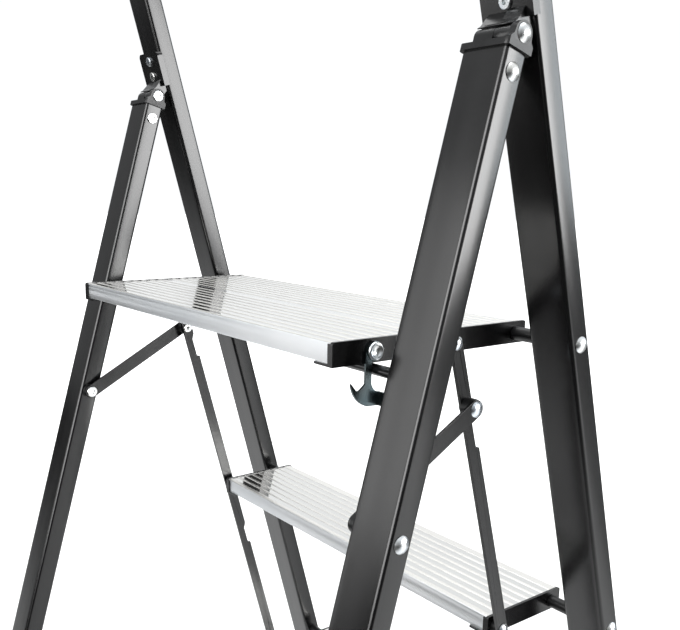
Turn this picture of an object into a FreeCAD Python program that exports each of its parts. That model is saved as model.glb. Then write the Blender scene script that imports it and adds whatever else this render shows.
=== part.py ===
import FreeCAD, Part
import math
import os

# Folding step ladder: two leaning tube frames hinged together, three treads that fold up with
# them, and a handrail. Millimetres and degrees. Row axes: X across the ladder, the climbing
# side faces -Y, Z up, the floor is Z = 0 and the ladder stands open.

V = FreeCAD.Vector
X_AXIS = V(1, 0, 0)
ORIGIN = V(0, 0, 0)

# ------------------------------------------------------------------ driving dimensions
LEAN = 15.5                    # lean of each frame from the vertical
PLATFORM_TOP = 750.0           # standing height
TREAD_RISE = 250.0             # height from one tread to the next
HALF_SPREAD = 68.5             # each frame's centre line from the middle, at platform height
RAIL_X = 257.5                 # centre of a rail or leg from the middle
HANDLE_HEIGHT = 1284.0         # centre of the top handle tube
HINGE_OFFSET = 25.5            # hinge pivot behind the front rail's centre line

TUBE_WIDE = 40.0               # rails and legs, rectangular tube, wide face to front and rear
TUBE_DEEP = 20.0
TUBE_WALL = 1.5
TUBE_CORNER = 3.0

TREAD_HALF_LENGTH = 212.0
TREAD_DEPTH = 92.0             # one ribbed plank: each step, and the rear half of the platform
FRONT_PLANK_DEPTH = 99.5       # the wider front half of the platform
PLANK_GAP = 0.4
PLANK_SKIN = 3.0
LIP_HEIGHT = 15.0
LIP_WALL = 2.5
RIB_PITCH = 10.0
PLANK_CHAMFER = 1.2
LIP_FLANGE = 5.5               # width of the inturned flange under each lip
WEB_FLANGE = 4.0               # half width of the flange under each middle web
FLANGE_THICK = 2.0
FRONT_WEB = 0.34               # places of the two middle webs, as a share of the plank's depth
REAR_WEB = 0.66
GROOVE_WIDTH = 6.4             # flat between two ribs
GROOVE_DEPTH = 0.5
STEP_GROOVE = 13.0             # centre of the first flat, from the front edge: steps,
FRONT_GROOVE = 7.5             # front half of the platform
REAR_GROOVE = 15.0             # and its rear half
SEAM_FLAT_FRONT = 5.2          # flats on both sides of the platform's seam
SEAM_FLAT_REAR = 8.2

PIVOT_BELOW_TOP = 9.15         # tread pivots below the tread's top
PIVOT_BEHIND_NOSE = 10.5       # tread pivots behind the tread's front edge
LINK_OFFSET = 74.3             # front pivot to link-bar pivot, along a tread
BRACE_PIVOT_DROP = 51.8        # platform's link pivot to the brace pivot, down the link bar
REAR_BRACE_DROP = 333.6        # hinge pivot to the brace pivot, down the rear leg
REST_BAR_HEIGHT = 728.2        # bar between the rear legs that the platform rests on
REST_BAR_RADIUS = 4.0
STRETCHER_HEIGHT = 120.0
STRETCHER_RADIUS = 10.0

# ------------------------------------------------------------------ fits and plate positions
RUNNING = 0.08                 # radial clearance of a turning joint
FIXED = 0.02                   # radial clearance of a hole round a fixed fastener
SLIDE_GAP = 0.3                # side gap between faces that move past each other

BRACKET_WEB = 2.5
BRACKET_OUTER = TREAD_HALF_LENGTH + BRACKET_WEB
LINK_INNER = 220.5             # link bar, from its inboard face
LINK_THICK = 3.0
LINK_HALF_WIDTH = 5.8
BRACE_INNER = 231.0
BRACE_THICK = 2.0
BRACE_HALF_WIDTH = 7.0
RAIL_INNER = RAIL_X - TUBE_WIDE / 2
RAIL_OUTER = RAIL_X + TUBE_WIDE / 2

DOME_RADIUS = 6.2              # rivet heads and tails
DOME_HEIGHT = 3.2
TAIL_RADIUS = 5.6
TAIL_THICK = 1.8
TAIL_HOLE = 2.6
SHANK_RADIUS = 4.0
SMALL_SHANK = 3.0

LEAN_RAD = math.radians(LEAN)
COS = math.cos(LEAN_RAD)
SIN = math.sin(LEAN_RAD)
TAN = math.tan(LEAN_RAD)


# ------------------------------------------------------------------ places of the pivots
def front_point(along, offset=0.0):
    """Y and Z of a point on the front rail's axes: distance up it and offset behind it."""
    y = -HALF_SPREAD + along * SIN + offset * COS
    z = PLATFORM_TOP + along * COS - offset * SIN
    return y, z


HINGE_RISE = (2 * HALF_SPREAD - HINGE_OFFSET / COS) / (2 * TAN)
HINGE_Y = HALF_SPREAD - HINGE_RISE * TAN
HINGE_Z = PLATFORM_TOP + HINGE_RISE
HINGE_ALONG = (HINGE_Y + HALF_SPREAD) * SIN + HINGE_RISE * COS

STEP_ALONG = TREAD_RISE / COS
PIVOT_ALONG = [-PIVOT_BELOW_TOP / COS - count * STEP_ALONG for count in range(3)]
PIVOTS = [front_point(along) for along in PIVOT_ALONG]
PLATFORM_PIVOT, UPPER_PIVOT, LOWER_PIVOT = PIVOTS
LINK_PIVOTS = [(y + LINK_OFFSET, z) for y, z in PIVOTS]

BRACE_TOP_Y = LINK_PIVOTS[0][0] - BRACE_PIVOT_DROP * SIN
BRACE_TOP_Z = LINK_PIVOTS[0][1] - BRACE_PIVOT_DROP * COS
BRACE_FOOT_Y = HINGE_Y + REAR_BRACE_DROP * SIN
BRACE_FOOT_Z = HINGE_Z - REAR_BRACE_DROP * COS

HOOK_Y = 76.0                  # safety hook's pivot
HOOK_Z = 741.5


# ------------------------------------------------------------------ general helpers
def block(x0, x1, y0, y1, z0, z1):
    """Box between six limits."""
    return Part.makeBox(x1 - x0, y1 - y0, z1 - z0, V(x0, y0, z0))


def rounded_bar(x0, x1, y0, y1, z0, z1, radius):
    """Box with its four edges along Z rounded."""
    bar = block(x0, x1, y0, y1, z0, z1)
    upright = [edge for edge in bar.Edges if abs(edge.tangentAt(edge.FirstParameter).z) > 0.99]
    return bar.makeFillet(radius, upright)


def rod_x(x0, x1, y, z, radius):
    """Round rod along X."""
    low = min(x0, x1)
    return Part.makeCylinder(radius, abs(x1 - x0), V(low, y, z), X_AXIS)


def prism_x(x0, x1, points):
    """Flat shape given by Y and Z corners, extruded along X."""
    corners = [V(x0, y, z) for y, z in points]
    outline = Part.makePolygon(corners + corners[:1])
    return Part.Face(outline).extrude(V(x1 - x0, 0, 0))


def flat_bar(x0, x1, start, end, half_width):
    """Flat bar between two Y, Z points, with rounded ends."""
    length = math.hypot(end[0] - start[0], end[1] - start[1])
    side_y = -(end[1] - start[1]) / length * half_width
    side_z = (end[0] - start[0]) / length * half_width
    middle = prism_x(x0, x1, [
        (start[0] + side_y, start[1] + side_z),
        (start[0] - side_y, start[1] - side_z),
        (end[0] - side_y, end[1] - side_z),
        (end[0] + side_y, end[1] + side_z),
    ])
    first = rod_x(x0, x1, start[0], start[1], half_width)
    last = rod_x(x0, x1, end[0], end[1], half_width)
    return middle.fuse([first, last]).removeSplitter()


def on_front(shape):
    """Place a shape drawn in front-rail axes: X, offset behind the rail, distance up it."""
    spot = FreeCAD.Placement(V(0, -HALF_SPREAD, PLATFORM_TOP), FreeCAD.Rotation(X_AXIS, -LEAN))
    return shape.transformed(spot.toMatrix(), True)


def on_rear(shape):
    """Place a shape drawn in rear-leg axes: X, offset behind the leg, distance above the hinge."""
    spot = FreeCAD.Placement(V(0, HINGE_Y, HINGE_Z), FreeCAD.Rotation(X_AXIS, LEAN))
    return shape.transformed(spot.toMatrix(), True)


def mirrored(shape):
    """The same shape on the other side of the ladder."""
    return shape.mirror(ORIGIN, X_AXIS)


def both_sides(shapes):
    """A group of separate solids and their mirror images."""
    return Part.makeCompound(shapes + [mirrored(shape) for shape in shapes])


def save(name, shape):
    """Write one node."""
    if not shape.isValid():
        raise ValueError(name + " is not a valid shape")
    shape.exportStep("parts/" + name + ".step")


# ------------------------------------------------------------------ rivets
def dome(x, y, z, direction, radius, height):
    """Spherical cap that stands on the plane at x and rises along +X or -X."""
    ball_radius = (radius ** 2 + height ** 2) / (2 * height)
    latitude = math.degrees(math.asin(1 - height / ball_radius))
    centre = V(x + direction * (height - ball_radius), y, z)
    return Part.makeSphere(ball_radius, centre, V(direction, 0, 0), latitude, 90, 360)


def tail(x, y, z, direction, radius=TAIL_RADIUS):
    """Flared tail of a hollow rivet, without its hole."""
    disc = rod_x(x, x + direction * TAIL_THICK, y, z, radius)
    outer = [edge for edge in disc.Edges
             if len(edge.Vertexes) == 1 and abs(edge.CenterOfMass.x - x) > TAIL_THICK / 2]
    return disc.makeFillet(TAIL_THICK * 0.45, outer)


def rivet(x_head, x_tail, y, z, shank_radius=SHANK_RADIUS):
    """Rivet along X: domed head beyond x_head, flared hollow tail beyond x_tail."""
    out = 1 if x_head > x_tail else -1
    body = rod_x(x_head, x_tail, y, z, shank_radius)
    head = dome(x_head, y, z, out, DOME_RADIUS, DOME_HEIGHT)
    flare = tail(x_tail, y, z, -out)
    hollow = rod_x(x_tail - out * TAIL_THICK, x_tail + out * TAIL_THICK * 2, y, z, TAIL_HOLE)
    return body.fuse([head, flare]).cut(hollow)


def ring(x0, x1, y, z, outer_radius, inner_radius):
    """Spacer or washer along X."""
    return rod_x(x0, x1, y, z, outer_radius).cut(rod_x(x0 - 1, x1 + 1, y, z, inner_radius))


# ------------------------------------------------------------------ rails and legs
def tube(centre_x, low, high):
    """Rectangular tube along the local Z axis."""
    half_wide = TUBE_WIDE / 2
    half_deep = TUBE_DEEP / 2
    outer = rounded_bar(centre_x - half_wide, centre_x + half_wide, -half_deep, half_deep,
                        low, high, TUBE_CORNER)
    half_wide -= TUBE_WALL
    half_deep -= TUBE_WALL
    inner = rounded_bar(centre_x - half_wide, centre_x + half_wide, -half_deep, half_deep,
                        low - 1, high + 1, TUBE_CORNER - TUBE_WALL)
    return outer.cut(inner)


TUBE_END_HEIGHT = 11.5         # centre of a tube's cut end above the floor, inside its foot
RAIL_LOW = -(PLATFORM_TOP - TUBE_END_HEIGHT) / COS
RAIL_HIGH = (HANDLE_HEIGHT - PLATFORM_TOP) / COS
LEG_LOW = -(HINGE_Z - TUBE_END_HEIGHT) / COS
CAP_SEAT = 11.0                # leg's top end below the hinge pivot
CAP_RIVET_DROP = 25.0
BRACKET_RIVETS = (20.4, 36.6)  # above the hinge pivot, up the rail


def front_rail():
    """Front rail of the +X side, full length to the handle corner."""
    rail = tube(RAIL_X, RAIL_LOW, RAIL_HIGH - SOCKET_RADIUS)
    for along in PIVOT_ALONG:
        rail = rail.cut(rod_x(RAIL_INNER - 5, RAIL_OUTER + 5, 0, along, SHANK_RADIUS + FIXED))
    for rise in BRACKET_RIVETS:
        hole = Part.makeCylinder(SMALL_SHANK + FIXED, TUBE_DEEP, V(RAIL_X, 0, HINGE_ALONG + rise),
                                 V(0, 1, 0))
        rail = rail.cut(hole)
    return on_front(rail)


def rear_leg():
    """Rear leg of the +X side, from its cap to its foot."""
    leg = tube(RAIL_X, LEG_LOW, -CAP_SEAT)
    for drop in (CAP_RIVET_DROP, REAR_BRACE_DROP):
        leg = leg.cut(rod_x(RAIL_INNER - 5, RAIL_OUTER + 5, 0, -drop, SHANK_RADIUS + FIXED))
    return on_rear(leg)


# ------------------------------------------------------------------ feet
FOOT_WALL = 2.3
FOOT_COLLAR = 38.0
FOOT_TOE = 6.0
FOOT_TOE_HEIGHT = 16.0


def foot(low, outward, place):
    """Plastic shoe round the end of a tube, sole flat on the floor, toe pointing outward."""
    half_wide = TUBE_WIDE / 2 + FOOT_WALL
    half_deep = TUBE_DEEP / 2 + 2.0
    collar = rounded_bar(RAIL_X - half_wide, RAIL_X + half_wide, -half_deep, half_deep,
                         low - 3 * TUBE_END_HEIGHT, low + FOOT_COLLAR, TUBE_CORNER + 1)
    toe_low = low - 3 * TUBE_END_HEIGHT
    toe_top = low - TUBE_END_HEIGHT + FOOT_TOE_HEIGHT
    near = outward * (half_deep - 4)
    far = outward * (half_deep + FOOT_TOE)
    toe = prism_x(RAIL_X - half_wide + 3, RAIL_X + half_wide - 3, [
        (near, toe_low), (far, toe_low), (far, toe_top), (near, toe_top + 2 * FOOT_TOE)])
    socket = rounded_bar(RAIL_X - TUBE_WIDE / 2, RAIL_X + TUBE_WIDE / 2,
                         -TUBE_DEEP / 2, TUBE_DEEP / 2, low, low + FOOT_COLLAR + 1, TUBE_CORNER)
    shoe = place(collar.fuse(toe).cut(socket))
    below_floor = block(0, 2 * RAIL_X, -2 * RAIL_X, 2 * RAIL_X, -100, 0)
    return shoe.cut(below_floor).removeSplitter()


# ------------------------------------------------------------------ handrail
CORNER_WALL = 2.2
CORNER_DROP = 46.0             # how far the corner's collar reaches down the rail
HANDLE_RADIUS = 12.5
HANDLE_WALL = 1.5
SOCKET_RADIUS = 16.0
SOCKET_INNER = 226.0           # where the corner's socket lets the handle tube out
GRIP_RADIUS = 17.0
GRIP_HALF_LENGTH = 110.0


def handle_corner():
    """Corner moulding on top of the +X rail, with a socket for the handle tube."""
    half_wide = TUBE_WIDE / 2 + CORNER_WALL
    half_deep = TUBE_DEEP / 2 + CORNER_WALL
    collar = rounded_bar(RAIL_X - half_wide, RAIL_X + half_wide, -half_deep, half_deep,
                         RAIL_HIGH - CORNER_DROP, RAIL_HIGH, TUBE_CORNER + CORNER_WALL)
    cheek = rod_x(SOCKET_INNER, RAIL_X + half_wide, 0, RAIL_HIGH, SOCKET_RADIUS)
    socket = rod_x(SOCKET_INNER - 1, RAIL_X + 10, 0, RAIL_HIGH, HANDLE_RADIUS + FIXED)
    rail_seat = rounded_bar(RAIL_X - TUBE_WIDE / 2, RAIL_X + TUBE_WIDE / 2,
                            -TUBE_DEEP / 2, TUBE_DEEP / 2,
                            RAIL_HIGH - CORNER_DROP - 1, RAIL_HIGH - SOCKET_RADIUS, TUBE_CORNER)
    return on_front(collar.fuse(cheek).cut(socket).cut(rail_seat).removeSplitter())


def handle_tube():
    """Round tube between the two corners."""
    half_length = RAIL_X + 10
    outer = rod_x(-half_length, half_length, 0, RAIL_HIGH, HANDLE_RADIUS)
    bore = rod_x(-half_length - 1, half_length + 1, 0, RAIL_HIGH, HANDLE_RADIUS - HANDLE_WALL)
    return on_front(outer.cut(bore))


def handle_grip():
    """Soft sleeve round the middle of the handle tube."""
    sleeve = rod_x(-GRIP_HALF_LENGTH, GRIP_HALF_LENGTH, 0, RAIL_HIGH, GRIP_RADIUS)
    ends = [edge for edge in sleeve.Edges if len(edge.Vertexes) == 1]
    sleeve = sleeve.makeFillet(2.5, ends)
    bore = rod_x(-GRIP_HALF_LENGTH - 1, GRIP_HALF_LENGTH + 1, 0, RAIL_HIGH, HANDLE_RADIUS + FIXED)
    return on_front(sleeve.cut(bore))


# ------------------------------------------------------------------ hinge
# The bracket and the cap are one pattern each, used the same way round on both sides, so
# their X limits are from the centre of the tube and aren't mirrored.
HINGE_HALF_WIDE = 22.0
BRACKET_REAR = 4.0             # bracket's rear face behind the rail
BRACKET_WRAP = 2.5             # how far its side flanges reach round the rail
BRACKET_LOW = 9.0              # above the hinge pivot
BRACKET_HIGH = 46.0
BEND_HEIGHT = 5.5              # bent lower edge of its rear plate
EAR_X = (-22.0, -16.5)
KNUCKLE_X = (-16.2, -1.7)
BARREL_X = (-1.4, 15.4)
EAR_RADIUS = 8.0
BARREL_RADIUS = 6.5
APRON_RADIUS = 7.1             # inside of the bend that covers the leg cap's barrel
APRON_ANGLES = range(80, 155, 15)
CAP_HALF_DEEP = 12.0
CAP_LIP = 4.5


def hinge_bracket(centre_x):
    """Bracket riveted to the back of a front rail, with a knuckle round the hinge pivot."""
    rail_face = TUBE_DEEP / 2 - HINGE_OFFSET
    rear_face = rail_face + BRACKET_REAR
    left = centre_x - HINGE_HALF_WIDE
    right = centre_x + HINGE_HALF_WIDE
    plate = rounded_plate(left, right, rail_face - BRACKET_WRAP, rear_face,
                          BRACKET_LOW, BRACKET_HIGH, 5.0)
    rail_room = rounded_bar(centre_x - TUBE_WIDE / 2, centre_x + TUBE_WIDE / 2,
                            rail_face - TUBE_DEEP, rail_face, BRACKET_LOW - 1, BRACKET_HIGH + 1,
                            TUBE_CORNER)
    knuckle_left = centre_x + KNUCKLE_X[0]
    knuckle_right = centre_x + KNUCKLE_X[1]
    over_barrel = []
    for degrees in APRON_ANGLES:
        turn = math.radians(degrees)
        over_barrel.append((APRON_RADIUS * math.cos(turn), APRON_RADIUS * math.sin(turn)))
    bend = prism_x(knuckle_left, centre_x + BARREL_X[1], [
        (rear_face, BRACKET_LOW + BEND_HEIGHT), (rear_face + 5, BRACKET_LOW + 2.5),
        (-2, BRACKET_LOW - 0.4), (APRON_RADIUS * 0.2, BRACKET_LOW - 1.3)] + over_barrel + [
        (rear_face, BRACKET_LOW - 4)])
    arm = prism_x(knuckle_left, knuckle_right, [
        (rail_face, BRACKET_LOW + 7), (rear_face, BRACKET_LOW + 7), (0, BARREL_RADIUS),
        (-BARREL_RADIUS * 0.7, -BARREL_RADIUS * 0.7), (rail_face, BRACKET_LOW - 5)])
    knuckle = rod_x(knuckle_left, knuckle_right, 0, 0, BARREL_RADIUS)
    bracket = plate.cut(rail_room).fuse([bend, arm, knuckle])
    bracket = bracket.cut(rod_x(knuckle_left - 1, knuckle_right + 1, 0, 0, SHANK_RADIUS + RUNNING))
    for rise in BRACKET_RIVETS:
        hole = Part.makeCylinder(SMALL_SHANK + FIXED, 2 * BRACKET_REAR,
                                 V(centre_x, rail_face - 1, rise), V(0, 1, 0))
        bracket = bracket.cut(hole)
    bracket.translate(V(0, HINGE_OFFSET, HINGE_ALONG))
    return on_front(bracket.removeSplitter())


def rounded_plate(x0, x1, y0, y1, z0, z1, radius):
    """Box with its two upper edges along Y rounded."""
    plate = block(x0, x1, y0, y1, z0, z1)
    upper = [edge for edge in plate.Edges
             if abs(edge.tangentAt(edge.FirstParameter).y) > 0.99 and edge.CenterOfMass.z > z1 - 1]
    return plate.makeFillet(radius, upper)


def leg_cap(centre_x):
    """Cap in the top of a rear leg: plug, lip, one ear and one barrel round the hinge pivot."""
    left = centre_x - HINGE_HALF_WIDE
    right = centre_x + HINGE_HALF_WIDE
    lip = rounded_bar(left, right, -CAP_HALF_DEEP, CAP_HALF_DEEP, -CAP_SEAT, CAP_LIP - CAP_SEAT, 4.0)
    plug_half = TUBE_WIDE / 2 - TUBE_WALL - FIXED
    plug_deep = TUBE_DEEP / 2 - TUBE_WALL - FIXED
    plug = rounded_bar(centre_x - plug_half, centre_x + plug_half, -plug_deep, plug_deep,
                       -CAP_SEAT - 26, -CAP_SEAT, 1.4)
    base = CAP_LIP - CAP_SEAT
    ear_left = centre_x + EAR_X[0]
    ear_right = centre_x + EAR_X[1]
    ear = prism_x(ear_left, ear_right, [
        (-CAP_HALF_DEEP + 1, -CAP_SEAT), (CAP_HALF_DEEP - 1, -CAP_SEAT),
        (CAP_HALF_DEEP - 1, base + 1), (EAR_RADIUS + 0.6, base + 3.4), (EAR_RADIUS - 0.1, 1),
        (-EAR_RADIUS + 0.1, 1), (-EAR_RADIUS - 0.6, base + 3.4), (-CAP_HALF_DEEP + 1, base + 1)])
    ear_eye = rod_x(ear_left, ear_right, 0, 0, EAR_RADIUS)
    barrel_left = centre_x + BARREL_X[0]
    barrel_right = centre_x + BARREL_X[1]
    barrel = rod_x(barrel_left, barrel_right, 0, 0, BARREL_RADIUS)
    barrel_foot = block(barrel_left, barrel_right, -BARREL_RADIUS, BARREL_RADIUS, base - 1, 0)
    cap = lip.fuse([plug, ear, ear_eye, barrel, barrel_foot])
    cap = cap.cut(rod_x(left - 1, right + 1, 0, 0, SHANK_RADIUS + FIXED))
    cap = cap.cut(rod_x(left - 1, right + 1, 0, -CAP_RIVET_DROP, SHANK_RADIUS + FIXED))
    return on_rear(cap.removeSplitter())


def bracket_rivet(centre_x, rise):
    """Short rivet that holds the hinge bracket to the back wall of the front rail."""
    rail_face = TUBE_DEEP / 2
    flare = tail(rail_face + BRACKET_REAR, 0, 0, 1, TAIL_RADIUS - 0.6)
    head = rod_x(rail_face - TUBE_WALL - 1.5, rail_face - TUBE_WALL, 0, 0, SMALL_SHANK + 1.6)
    shank = rod_x(rail_face - TUBE_WALL, rail_face + BRACKET_REAR, 0, 0, SMALL_SHANK)
    hollow = rod_x(rail_face, rail_face + BRACKET_REAR + TAIL_THICK + 1, 0, 0, TAIL_HOLE - 0.8)
    fastener = shank.fuse([flare, head]).cut(hollow)
    turn = FreeCAD.Placement(V(centre_x, 0, HINGE_ALONG + rise), FreeCAD.Rotation(V(0, 0, 1), 90))
    return on_front(fastener.transformed(turn.toMatrix(), True))


# ------------------------------------------------------------------ rear frame cross members
def rest_bar():
    """Round bar between the rear legs, under the platform."""
    drop = (HINGE_Z - REST_BAR_HEIGHT) / COS
    return on_rear(rod_x(-RAIL_INNER, RAIL_INNER, 0, -drop, REST_BAR_RADIUS))


def rear_stretcher():
    """Round tube between the rear legs, near the floor."""
    drop = (HINGE_Z - STRETCHER_HEIGHT) / COS
    outer = rod_x(-RAIL_INNER, RAIL_INNER, 0, -drop, STRETCHER_RADIUS)
    bore = rod_x(-RAIL_INNER, RAIL_INNER, 0, -drop, STRETCHER_RADIUS - TUBE_WALL)
    return on_rear(outer.cut(bore))


# ------------------------------------------------------------------ treads
def plank(depth, first_groove):
    """Ribbed plank, its front edge at Y = 0 and its top at Z = 0."""
    points = [(0, -PLANK_CHAMFER), (PLANK_CHAMFER, 0)]
    groove = first_groove
    while groove < depth - RIB_PITCH / 2:
        points += [(groove - GROOVE_WIDTH / 2, 0), (groove - GROOVE_WIDTH / 2, -GROOVE_DEPTH),
                   (groove + GROOVE_WIDTH / 2, -GROOVE_DEPTH), (groove + GROOVE_WIDTH / 2, 0)]
        groove += RIB_PITCH
    points += [(depth - PLANK_CHAMFER, 0), (depth, -PLANK_CHAMFER)]
    foot_top = -LIP_HEIGHT + FLANGE_THICK
    points += [(depth, -LIP_HEIGHT), (depth - LIP_FLANGE, -LIP_HEIGHT), (depth - LIP_FLANGE, foot_top),
               (depth - LIP_WALL, foot_top), (depth - LIP_WALL, -PLANK_SKIN)]
    for web in (depth * REAR_WEB, depth * FRONT_WEB):
        points += [(web + 1, -PLANK_SKIN), (web + 1, foot_top), (web + WEB_FLANGE, foot_top),
                   (web + WEB_FLANGE, -LIP_HEIGHT), (web - WEB_FLANGE, -LIP_HEIGHT),
                   (web - WEB_FLANGE, foot_top), (web - 1, foot_top), (web - 1, -PLANK_SKIN)]
    points += [(LIP_WALL, -PLANK_SKIN), (LIP_WALL, foot_top), (LIP_FLANGE, foot_top),
               (LIP_FLANGE, -LIP_HEIGHT), (0, -LIP_HEIGHT)]
    return prism_x(-TREAD_HALF_LENGTH, TREAD_HALF_LENGTH, points)


BRACKET_RISE = 0.4             # the end bracket's web stands this far above the tread
BRACKET_DROP = 17.0            # and reaches this far below its top
BRACKET_FLANGE = 18.0
BRACKET_SHEET = 2.0
BRACKET_END = 1.6              # end returns, beyond the tread's lips
FIXING_RADIUS = 2.0
FIXING_INSET = 9.0
FIXING_ASIDE = 2.4             # a fixing goes through its web's flange, beside the web


def tread_bracket(nose, depth, top, pivots, fixing_ys):
    """End bracket of the +X side: web, flange under the tread and a return round each lip."""
    low = top - BRACKET_DROP
    front = nose - BRACKET_END
    rear = nose + depth + BRACKET_END
    web = block(TREAD_HALF_LENGTH, BRACKET_OUTER, front, rear, low, top + BRACKET_RISE)
    corners = [edge for edge in web.Edges
               if abs(edge.tangentAt(edge.FirstParameter).x) > 0.99 and edge.CenterOfMass.z > top]
    web = web.makeFillet(2.0, corners)
    flange = block(TREAD_HALF_LENGTH - BRACKET_FLANGE, TREAD_HALF_LENGTH, front, rear,
                   low, low + BRACKET_SHEET)
    returns = [block(TREAD_HALF_LENGTH - 3, TREAD_HALF_LENGTH, start, start + BRACKET_END, low, top - 1)
               for start in (front, nose + depth)]
    bracket = web.fuse([flange] + returns)
    for y, z, radius in pivots:
        bracket = bracket.cut(rod_x(TREAD_HALF_LENGTH - 1, BRACKET_OUTER + 1, y, z, radius))
    for y in fixing_ys:
        bracket = bracket.cut(fixing_hole(y, low))
    return bracket.removeSplitter()


def fixing_places(nose, depth):
    """Y of the fixings that hold a bracket's flange to the feet of the tread's two middle webs."""
    return [nose + depth * FRONT_WEB - FIXING_ASIDE, nose + depth * REAR_WEB + FIXING_ASIDE]


def fixing_hole(y, low):
    """Clearance for one fixing through the flange and the tread's foot."""
    return Part.makeCylinder(FIXING_RADIUS + FIXED, 8, V(TREAD_HALF_LENGTH - FIXING_INSET, y, low - 2),
                             V(0, 0, 1))


def fixing(y, low):
    """Small blind rivet from below, on the +X side."""
    x = TREAD_HALF_LENGTH - FIXING_INSET
    head = Part.makeCone(FIXING_RADIUS + 0.6, FIXING_RADIUS + 1.8, 1.2, V(x, y, low - 1.2))
    shank = Part.makeCylinder(FIXING_RADIUS, 5.0, V(x, y, low))
    return head.fuse(shank)


def tread_nose(pivot):
    """Y of a tread's front edge."""
    return pivot[0] - PIVOT_BEHIND_NOSE


def bored_plank(depth, first_groove, nose, top, fixing_ys):
    """Plank in its place, drilled for its fixings at both ends."""
    board = plank(depth, first_groove)
    board.translate(V(0, nose, top))
    for y in fixing_ys:
        hole = fixing_hole(y, top - BRACKET_DROP)
        board = board.cut(hole).cut(mirrored(hole))
    return board


# ------------------------------------------------------------------ linkage
RECESS_TOP = 60.8              # relief in a link bar, below its pivot, clears a tread's pivot spacer
RECESS_LOW = 86.0
RECESS_DEPTH = 3.3
SPACER_RADIUS = 5.5
BUSHING_RADIUS = 7.5
LINK_HEAD_HEIGHT = 2.6
LINK_HEAD_RADIUS = 5.2


def link_bar():
    """Flat bar of the +X side that ties the three treads together, parallel to the rail."""
    outer = LINK_INNER + LINK_THICK
    bar = flat_bar(LINK_INNER, outer, LINK_PIVOTS[0], LINK_PIVOTS[2], LINK_HALF_WIDTH)
    for pivot in LINK_PIVOTS:
        bar = bar.cut(rod_x(LINK_INNER - 1, outer + 1, pivot[0], pivot[1], SMALL_SHANK + RUNNING))
    bar = bar.cut(rod_x(LINK_INNER - 1, outer + 1, BRACE_TOP_Y, BRACE_TOP_Z, SMALL_SHANK + FIXED))
    for pivot in LINK_PIVOTS[:2]:
        bar = bar.cut(link_recess(pivot))
    return bar


def link_recess(pivot):
    """Room cut from the front edge of a link bar, with a sloped top and a rounded bottom."""
    x0 = LINK_INNER - 1
    x1 = LINK_INNER + LINK_THICK + 1
    edge = -LINK_HALF_WIDTH
    floor = edge + RECESS_DEPTH
    slot = prism_x(x0, x1, [(edge - 1, -RECESS_TOP), (edge, -RECESS_TOP), (floor, -RECESS_TOP - 6),
                            (floor, -RECESS_LOW), (edge - 1, -RECESS_LOW)])
    corner = rod_x(x0, x1, edge, -RECESS_LOW, RECESS_DEPTH)
    spot = FreeCAD.Placement(V(0, pivot[0], pivot[1]), FreeCAD.Rotation(X_AXIS, -LEAN))
    return slot.fuse(corner).transformed(spot.toMatrix(), True)


def brace():
    """Flat bar of the +X side from the rear leg to the link bar."""
    outer = BRACE_INNER + BRACE_THICK
    foot_pivot = (BRACE_FOOT_Y, BRACE_FOOT_Z)
    top_pivot = (BRACE_TOP_Y, BRACE_TOP_Z)
    bar = flat_bar(BRACE_INNER, outer, foot_pivot, top_pivot, BRACE_HALF_WIDTH)
    bar = bar.cut(rod_x(BRACE_INNER - 1, outer + 1, BRACE_FOOT_Y, BRACE_FOOT_Z,
                        SHANK_RADIUS + RUNNING))
    return bar.cut(rod_x(BRACE_INNER - 1, outer + 1, BRACE_TOP_Y, BRACE_TOP_Z, SMALL_SHANK + FIXED))


def brace_top_head():
    """Head half of the brace's upper rivet: dome outboard, shank flush with the brace inboard."""
    outer = BRACE_INNER + BRACE_THICK
    head = dome(outer, BRACE_TOP_Y, BRACE_TOP_Z, 1, DOME_RADIUS, LINK_HEAD_HEIGHT)
    return head.fuse(rod_x(BRACE_INNER, outer, BRACE_TOP_Y, BRACE_TOP_Z, SMALL_SHANK))


def brace_top_pin():
    """Tail half of the same rivet: through the link bar and its bushing, short of the brace."""
    outer = BRACE_INNER - SLIDE_GAP
    pin = rod_x(LINK_INNER, outer, BRACE_TOP_Y, BRACE_TOP_Z, SMALL_SHANK)
    flare = tail(LINK_INNER, BRACE_TOP_Y, BRACE_TOP_Z, -1, TAIL_RADIUS - 0.6)
    hollow = rod_x(LINK_INNER - TAIL_THICK, LINK_INNER + TAIL_THICK, BRACE_TOP_Y, BRACE_TOP_Z, 2.0)
    return pin.fuse(flare).cut(hollow)


def brace_bushing():
    """Bushing between the link bar and the brace."""
    return ring(LINK_INNER + LINK_THICK, BRACE_INNER - SLIDE_GAP, BRACE_TOP_Y, BRACE_TOP_Z,
                BUSHING_RADIUS, SMALL_SHANK + FIXED)


def brace_foot_rivet():
    """Rivet through the rear leg, its washer and the lower end of the brace."""
    return rivet(RAIL_OUTER, BRACE_INNER - SLIDE_GAP, BRACE_FOOT_Y, BRACE_FOOT_Z)


def brace_washer():
    """Spacer between the brace and the rear leg."""
    return ring(BRACE_INNER + BRACE_THICK + SLIDE_GAP, RAIL_INNER, BRACE_FOOT_Y, BRACE_FOOT_Z,
                BUSHING_RADIUS, SHANK_RADIUS + FIXED)


def tread_pivot_rivet(pivot):
    """Rivet through a front rail, the spacer and a tread's end bracket."""
    return rivet(RAIL_OUTER, TREAD_HALF_LENGTH - SLIDE_GAP, pivot[0], pivot[1])


def tread_pivot_spacer(pivot):
    """Spacer between the rail and a tread's end bracket."""
    return ring(BRACKET_OUTER + SLIDE_GAP, RAIL_INNER, pivot[0], pivot[1], SPACER_RADIUS,
                SHANK_RADIUS + FIXED)


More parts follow.
